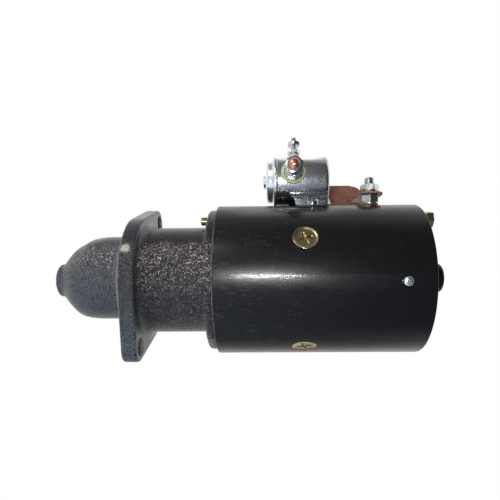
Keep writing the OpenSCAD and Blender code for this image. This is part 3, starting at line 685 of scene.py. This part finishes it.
def cast(name, slot, body, replaced, parts, cutters, voxel, relief, grain):
    """A casting: parts are cut, fused, rounded and given a sandy skin."""
    shells = []
    for part in parts:
        shell = mesh_object("shell", [part])
        carve(shell, cutters)
        shells.append(shell)
    bm = bmesh.new()
    for shell in shells:
        bm.from_mesh(shell.data)
        bpy.data.objects.remove(shell)
    mesh = bpy.data.meshes.new(name)
    bm.to_mesh(mesh)
    bm.free()
    obj = bpy.data.objects.new(name, mesh)
    bpy.context.scene.collection.objects.link(obj)
    fuse = obj.modifiers.new("fuse", "REMESH")
    fuse.mode, fuse.voxel_size = "VOXEL", voxel * MM
    rub = obj.modifiers.new("rub", "SMOOTH")
    rub.factor, rub.iterations = 0.5, 5
    if relief:
        texture = bpy.data.textures.new(name + "_grain", "CLOUDS")
        texture.noise_scale, texture.noise_depth = grain * MM, 2
        sand = obj.modifiers.new("sand", "DISPLACE")
        sand.texture, sand.strength, sand.mid_level = texture, relief * MM, 0.62
    settle(obj, 180)
    return enter(obj, slot, body, replaced)


# ---- Places taken from the frame -----------------------------------------------------------------

def middle(node, axis):
    low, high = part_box(node)
    return (low[axis] + high[axis]) / 2 / MM


def low(node, axis=0):
    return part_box(node)[0][axis] / MM


def high(node, axis=0):
    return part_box(node)[1][axis] / MM


# Clock positions in degrees; distances from the shaft and along it in millimetres.
SWITCH_PHI, SWITCH_REACH = 100, 80.6
POLE_PHIS = (30, 120, 210, 300)
SUPPORT_PHIS = (-2, 178)
BOLT_PHI, BOLT_REACH = 75, 46
WINDOW_PHI = 212
FOOT_TILT, FOOT_SCREW_Y = 38, 13.5
FOOT_SCREW_X = {-1: 145.5, 1: 138.3}
OPPOSITE = (0, 180)

# Hardware, in millimetres: width across flats, stud radius, thread pitch and the bore of a nut.
FLATS, STUD_R, PITCH, BORE = 12.7, 3.9, 1.25, 3.65
SMALL_FLATS, SMALL_STUD_R, SMALL_PITCH, SMALL_BORE = 9.5, 2.4, 0.8, 2.2

SWITCH = clock(SWITCH_PHI) @ shift(0, 0, SWITCH_REACH)
SWITCH_AXIS = SWITCH @ ALONG_X
FIELD = shift(middle("field_terminal", 0), 0, 0)
STUD_X = middle("battery_stud", 0)
FRONT_STUD = SWITCH @ shift(STUD_X, 0, 0) @ turn(90, "X")
REAR_STUD = SWITCH @ shift(STUD_X, 0, 0) @ turn(-90, "X")
SMALL_STUD = SWITCH @ shift(middle("small_terminal", 0), 0, 0)
HERE = Matrix.Identity(4)
FRAME_X0, FRAME_X1 = low("field_frame"), high("field_frame")
FRAME_R = high("field_frame", 2)
EAR_REACH = BOLTS["pcd_mm"] / 2
EAR_AXES = [clock(EAR_PHI + side) @ shift(0, 0, EAR_REACH) @ ALONG_X for side in OPPOSITE]
BOLT_AXES = [clock(BOLT_PHI + side) @ shift(0, 0, BOLT_REACH) @ ALONG_X for side in OPPOSITE]
POLE_SEATS = [clock(phi) @ shift(middle("pole_screws", 0), 0, 0) for phi in POLE_PHIS]
SUPPORT_SEATS = [clock(phi) @ shift(middle("support_screws", 0), 0, 0) for phi in SUPPORT_PHIS]
FEET = {side: clock(SWITCH_PHI - FOOT_TILT * side) for side in (-1, 1)}
FOOT_SCREWS = {side: foot @ shift(FOOT_SCREW_X[side], side * FOOT_SCREW_Y, 0) for side, foot in FEET.items()}


# ---- Castings and tube ---------------------------------------------------------------------------

def nose_centre(x):
    """How far the nose's middle stands above the shaft at a station."""
    return float(np.interp(x, [-38, -35.8, -33.4, -31, -26.2, -19], [0, 0.5, 0.9, 1.3, 1.6, 2.0]))


def flange_shape(thickness, distance, phi, tip, waist):
    """The two-eared flange: the tangent outline of three circles, from x = 0 to its thickness."""
    angles = np.linspace(0, TAU, 360, endpoint=False)
    ear = np.array((-math.cos(math.radians(phi)), math.sin(math.radians(phi)))) * distance
    outward = np.column_stack((np.cos(angles), np.sin(angles)))
    reach = np.maximum(waist, np.abs(outward @ ear) + tip)
    points = []
    for direction, support in zip(outward, reach):
        circle = ear * np.sign(direction @ ear) if support > waist else np.zeros(2)
        points.append(circle + direction * (support - direction @ circle))
    rings = [[(0, 0, 0)]]
    for inset, x in ((0.5, 0), (0.1, 0.15), (0, 0.6), (0, thickness - 1.2), (0.4, thickness - 0.35), (1.2, thickness)):
        rings.append([(x, *(p - d * inset)) for p, d in zip(points, outward)])
    rings.append([(thickness, 0, 0)])
    return rings_to_solid(rings)


def make_housing():
    """Nose, pilot, flange, neck and plate as one casting."""
    nose = [(0, low("drive_housing")), (11.6, -59.5), (12.6, -59.1), (12.95, -58.2), (13.05, -56.2), (13.5, -55.1),
            (14.5, -54), (16.1, -52.6), (19, -50.2), (21.6, -47.8), (24, -45.4), (26.1, -43), (27.5, -40.8),
            (28.7, -38.2), (29.8, -35.8), (30.7, -33.4), (31.3, -31), (31.7, -28.6), (32, -26.2), (32.4, -20),
            (32.4, 2), (0, 2)]
    neck = [(0, 0.5), (48, 0.5), (48, 10), (45, 11.5), (43.2, 12.5), (42, 13.8), (41.2, 15.4), (40.9, 18), (40.9, 56),
            (41.3, 57.8), (42.4, 59.2), (44.4, 60), (44.4, 62), (0, 62)]
    plate = [(0, 59.6)] + soften([(0, 59.6), (54.2, 59.6), (54.2, 66.5), (0, 66.5)], 2.4, 6)[1:-1] + [(0, 66.5)]
    inside = [(0, -57.5), (9, -57.5), (9, -50), (25.2, -37), (25.2, 5.5), (35.4, 5.5), (35.4, 80), (0, 80)]
    cutters = [(lathe(inside, 96), ALONG_X), (block((-46, -19, 6), (-6, 19, 46)), clock(WINDOW_PHI))]
    for ear, bolt in zip(EAR_AXES, BOLT_AXES):
        cutters += [(drill(BOLTS["hole_r_mm"], -20, 40, 64), ear), (drill(3.3, 50, 80), bolt)]
    parts = [
        (lathe(nose, 144, nose_centre), ALONG_X),
        (rod(38.1, -5, 2, 0.3, 144), ALONG_X),
        (flange_shape(thickness=11.4, distance=EAR_REACH, phi=EAR_PHI, tip=11, waist=49.2), HERE),
        (lathe(neck, 144), ALONG_X),
        (lathe(plate, 144), ALONG_X),
        (washer(51.9, 49.9, 66, 70.5), ALONG_X),
    ]
    cast("housing_casting", "cast_black", "frame", ["drive_housing"], parts, cutters,
         voxel=0.85, relief=0.28, grain=1.7)


def make_field_tube():
    """The enamelled tube, with its rims rolled and seats for its screws."""
    inner = FRAME_R - 4.85
    outline = soften([(inner, FRAME_X0), (FRAME_R, FRAME_X0), (FRAME_R, FRAME_X1), (inner, FRAME_X1)], 0.7, 5)
    seat = [(0, 48), (4.9, 48), (4.9, 52.6), (5.4, 52.6), (9.2, 56.5), (9.55, 57.3), (9.55, 62), (0, 62)]
    shallow = [(0, 56.3), (4.3, 56.3), (4.9, 57), (4.9, 62), (0, 62)]
    holes = [(2.25, place) for place in SUPPORT_SEATS] + [(2.45, place) for place in FOOT_SCREWS.values()]
    holes.append((5.6, FIELD))
    cutters = [(lathe(seat, 64), place) for place in POLE_SEATS]
    cutters += [(drill(radius, 50, 62), place) for radius, place in holes]
    cutters += [(lathe(shallow, 48), place) for place in SUPPORT_SEATS]
    piece("field_tube", "black_enamel", "frame", ["field_frame"], [(lathe(outline, 288), ALONG_X)], cutters, angle=40)


def make_screws():
    """Countersunk pole screws with a rimmed face, and domed screws near the commutator end."""
    top = FRAME_R - 0.4
    face = [(0, 40), (4.75, 40), (4.75, 52.4), (5.2, 52.7), (9, 56.45), (9.05, top - 0.15), (8.9, top - 0.03),
            (8.5, top), (8, top - 0.08), (7.6, top - 0.4), (7, top - 0.55), (5.4, top - 0.6), (0, top - 0.35)]
    places = [seat @ turn(20, "Z") for seat in POLE_SEATS]
    piece("countersunk_screws", "yellow_zinc", "frame", ["pole_screws"],
          [(lathe(face, 96), place) for place in places],
          [(slot, place) for place in places for slot in crossed(5.2, 0.9, top - 2.4, top + 1)])
    skin = FRAME_R
    dome = [(0, 48.8), (1.95, 48.8), (1.95, skin - 0.7), (3.4, skin - 0.6), (3.5, skin), (3.45, skin + 0.6),
            (3.1, skin + 1.2), (2.4, skin + 1.65), (1.4, skin + 1.88), (0, skin + 1.95)]
    places = [seat @ turn(30, "Z") for seat in SUPPORT_SEATS]
    domed = piece("domed_screws", "zinc", "frame", ["support_screws"], [(lathe(dome, 64), place) for place in places],
                  [(slot, place) for place in places for slot in crossed(1.7, 0.3, skin + 1.1, skin + 3)])
    dress(domed, "pale_zinc")


def make_end_frame():
    """The pressed commutator end with its bearing cap and the bolts' bosses."""
    x = FRAME_X1
    cap = high("commutator_end_frame")
    dish = [(0, x - 3), (51.2, x - 3), (51.2, x), (55.8, x), (54.8, x + 0.6), (49.6, x + 2.5), (41.6, x + 5.5),
            (33, x + 8.5), (25, x + 9.9), (14.5, x + 10.7), (12.2, x + 11.6), (11.5, x + 13), (11.5, cap - 2.2),
            (10.9, cap - 0.9), (9.4, cap), (0, cap)]
    inside = [(0, 210), (49, 210), (49, 213.7), (48.2, 216), (39.6, 219.6), (31, 221.4), (15.5, 222.4), (9, 222.4),
              (9, 235.6), (0, 235.6)]
    bosses = [(rod(6.4, x, x + 5.9, 0.6, 48), bolt) for bolt in BOLT_AXES]
    cutters = [(lathe(inside, 96), ALONG_X)] + [(drill(3.45, 208, 232), bolt) for bolt in BOLT_AXES]
    cast("end_casting", "black_enamel", "frame", ["commutator_end_frame"],
         [(lathe(dish, 144), ALONG_X)] + bosses, cutters, voxel=0.9, relief=0, grain=1)


# ---- Magnetic switch and terminals ---------------------------------------------------------------

def make_switch():
    """The plated can, bored for its studs, and its pressed, stepped lid."""
    x0, x1 = low("switch_case"), high("switch_case")
    shell = [(0, x1 - 1.4), (17, x1 - 1.4), (18.4, x1 - 2.4), (18.9, x1 - 4), (18.9, x0), (20.2, x0), (20.2, x1 - 3.2),
             (19.95, x1 - 2), (19.3, x1 - 0.95), (18.3, x1 - 0.25), (17, x1), (0, x1)]
    bores = [(drill(radius, 10, 30, 40), place)
             for radius, place in ((5.35, FRONT_STUD), (5.35, REAR_STUD), (3.65, SMALL_STUD))]
    piece("switch_can", "bright_zinc", "frame", ["switch_case"], [(lathe(shell, 192), SWITCH_AXIS)], bores)
    front = low("switch_cap")
    cap = [(0, front), (4.2, front), (5.1, front + 0.3), (5.6, front + 0.9), (5.7, front + 1.9), (6.2, front + 2.3),
           (13.8, 103.3), (15.6, 103.55), (16.9, 104.3), (17.5, 105.5), (17.7, 107), (17.9, 108.4), (18.6, 109.1),
           (20.6, 109.1), (21.3, 109.5), (21.5, 110.4), (21.5, 111.3), (21.2, 112.1), (20.6, x0 - 0.05),
           (16.2, x0 - 0.05), (16.2, 106.4), (15, 105.3), (3.4, 105.2), (3.4, 102.2), (0, 102.2)]
    lid = piece("switch_lid", "bright_zinc", "frame", ["switch_cap"], [(lathe(cap, 192), SWITCH_AXIS)], angle=50)
    dress(lid, "pale_zinc")


def make_bracket():
    """The folded bracket: two leaning feet, a saddle under the case and the rolled folds between them."""
    start, end = low("switch_bracket"), high("switch_bracket")
    angles = np.radians(np.linspace(-45, 45, 31))
    saddle = [(21.5 * math.cos(a), 21.5 * math.sin(a)) for a in angles]
    saddle += [(20.25 * math.cos(a), 20.25 * math.sin(a)) for a in angles[::-1]]
    outline = [(127.6, 7), (148.5, 7), (151.4, 11), (end, 30.2), (start, 30.2), (122, 28.5), (125.1, 24),
               (125.1, 10.5)]
    sole = FRAME_R + 0.1
    parts, cutters = [(prism(saddle, start, end), SWITCH_AXIS)], []
    for side, foot in FEET.items():
        parts.append((prism([(x, side * y) for x, y in outline], sole, sole + 1.4), foot))
        parts.append((rod(0.8, start, end, 0.4, 24), SWITCH @ shift(0, side * 15, -14.9) @ ALONG_X))
        cutters.append((drill(2.5, 50, 70), FOOT_SCREWS[side]))
    bracket = piece("folded_bracket", "bright_zinc", "frame", ["switch_bracket"], parts, cutters)
    dress(bracket, "folded_zinc")


def make_main_studs():
    """The two threaded studs with square heads, their fibre bushes, washers and nuts."""
    head = block((-4.4, -4.4, 7), (4.4, 4.4, 13.2))
    for name, node, place, tip in (("battery_bolt", "battery_stud", FRONT_STUD, 40.5),
                                   ("motor_bolt", "motor_stud", REAR_STUD, 38)):
        shank = threaded(STUD_R, 13, tip, PITCH, plain_to=15, tip=0.7, dome=1.1)
        piece(name, "stud_copper", "frame", [node], [(shank, place), (head, place)])
    bush = lathe(soften([(4, 13.3), (6.4, 13.3), (6.4, 15.4), (5.2, 15.4), (5.2, 20.3), (9.5, 20.3), (9.5, 22.5),
                         (4, 22.5)], 0.35), 96)
    piece("stud_fibre", "green_fibre", "frame", ["stud_insulators"], [(bush, FRONT_STUD), (bush, REAR_STUD)])
    piece("main_nuts", "zinc", "frame", ["stud_nuts"], [
        (nut(FLATS, 24.2, 29.4, BORE), FRONT_STUD @ turn(8, "Z")),
        (nut(FLATS, 31, 36.4, BORE), FRONT_STUD @ turn(-14, "Z")),
        (nut(FLATS, 30.4, 35.4, BORE), REAR_STUD)])
    piece("main_washers", "zinc", "frame", ["stud_washers"], [
        (washer(7.9, 4, 22.6, 24.1), FRONT_STUD), (washer(6.4, 4, 29.5, 30.9), FRONT_STUD),
        (washer(7.9, 4, 22.6, 27.1), REAR_STUD), (washer(6.4, 4, 28.8, 30.3), REAR_STUD)])


def make_small_terminal():
    """The control stud with its sleeve, nuts and washer."""
    shank = threaded(SMALL_STUD_R, 16.7, 38.9, SMALL_PITCH, plain_to=18, tip=0.6, steps=36)
    piece("small_bolt", "zinc", "frame", ["small_terminal"], [(shank, SMALL_STUD), (rod(3.4, 15, 16.8), SMALL_STUD)])
    piece("small_lock_nuts", "zinc", "frame", ["small_nuts"], [
        (nut(SMALL_FLATS, 24.6, 27.7, SMALL_BORE), SMALL_STUD @ turn(20, "Z")),
        (nut(SMALL_FLATS, 31.6, 34.9, SMALL_BORE), SMALL_STUD @ turn(2, "Z")),
        (washer(4.6, 2.5, 23.9, 24.5), SMALL_STUD)])
    sleeve = soften([(2.5, 16.9), (3.5, 16.9), (3.5, 20.3), (4.2, 20.3), (4.2, 23.8), (2.5, 23.8)], 0.3)
    piece("small_sleeve", "natural_plastic", "frame", ["small_insulator"], [(lathe(sleeve, 64), SMALL_STUD)])


def make_field_terminal():
    """The motor's own stud with its inner head, nuts and the washers round the bus bar."""
    piece("field_bolt", "zinc", "frame", ["field_terminal"],
          [(threaded(STUD_R, 48.8, 79.3, PITCH, plain_to=59.5), FIELD), (nut(FLATS, 45.4, 48.9, bore=1.5), FIELD)])
    top = high("terminal_nuts", 2)
    piece("field_nuts", "zinc", "frame", ["terminal_nuts"], [
        (nut(FLATS, 59.6, 65.5, BORE), FIELD @ turn(-7, "Z")),
        (nut(FLATS, top - 5, top, BORE), FIELD @ turn(16, "Z"))])
    tab = high("terminal_washers", 2) - 1.55
    washers = piece("field_washers", "zinc", "frame", ["terminal_washers"], [
        (washer(6.7, 4, 58.25, 59.55), FIELD), (washer(6.2, 4, tab, tab + 1.5), FIELD)])
    dress(washers, "pale_gold")


def make_springs():
    """The drive's heavy coil, and the plunger's light one, each a helix between the ends of its CAD node."""
    piece("drive_coil_spring", "spring_steel", "armature", ["drive_spring"],
          [(coil(16.5, 1.45, low("drive_spring"), high("drive_spring"), turns=4.6), ALONG_X)])
    start, end, travel = low("plunger_spring"), high("plunger_spring"), 2.4
    spring = piece("plunger_coil_spring", "spring_steel", "frame", ["plunger_spring"],
                   [(coil(5.7, 0.42, start, end, turns=4.5), SWITCH_AXIS)])
    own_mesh(spring)


make_camera()
make_stage()
make_world()
make_lights()
finish_frame()
make_housing()
make_field_tube()
make_screws()
make_end_frame()
make_switch()
make_bracket()
make_main_studs()
make_small_terminal()
make_field_terminal()
make_springs()

bpy.context.scene.view_settings.view_transform = "Standard"
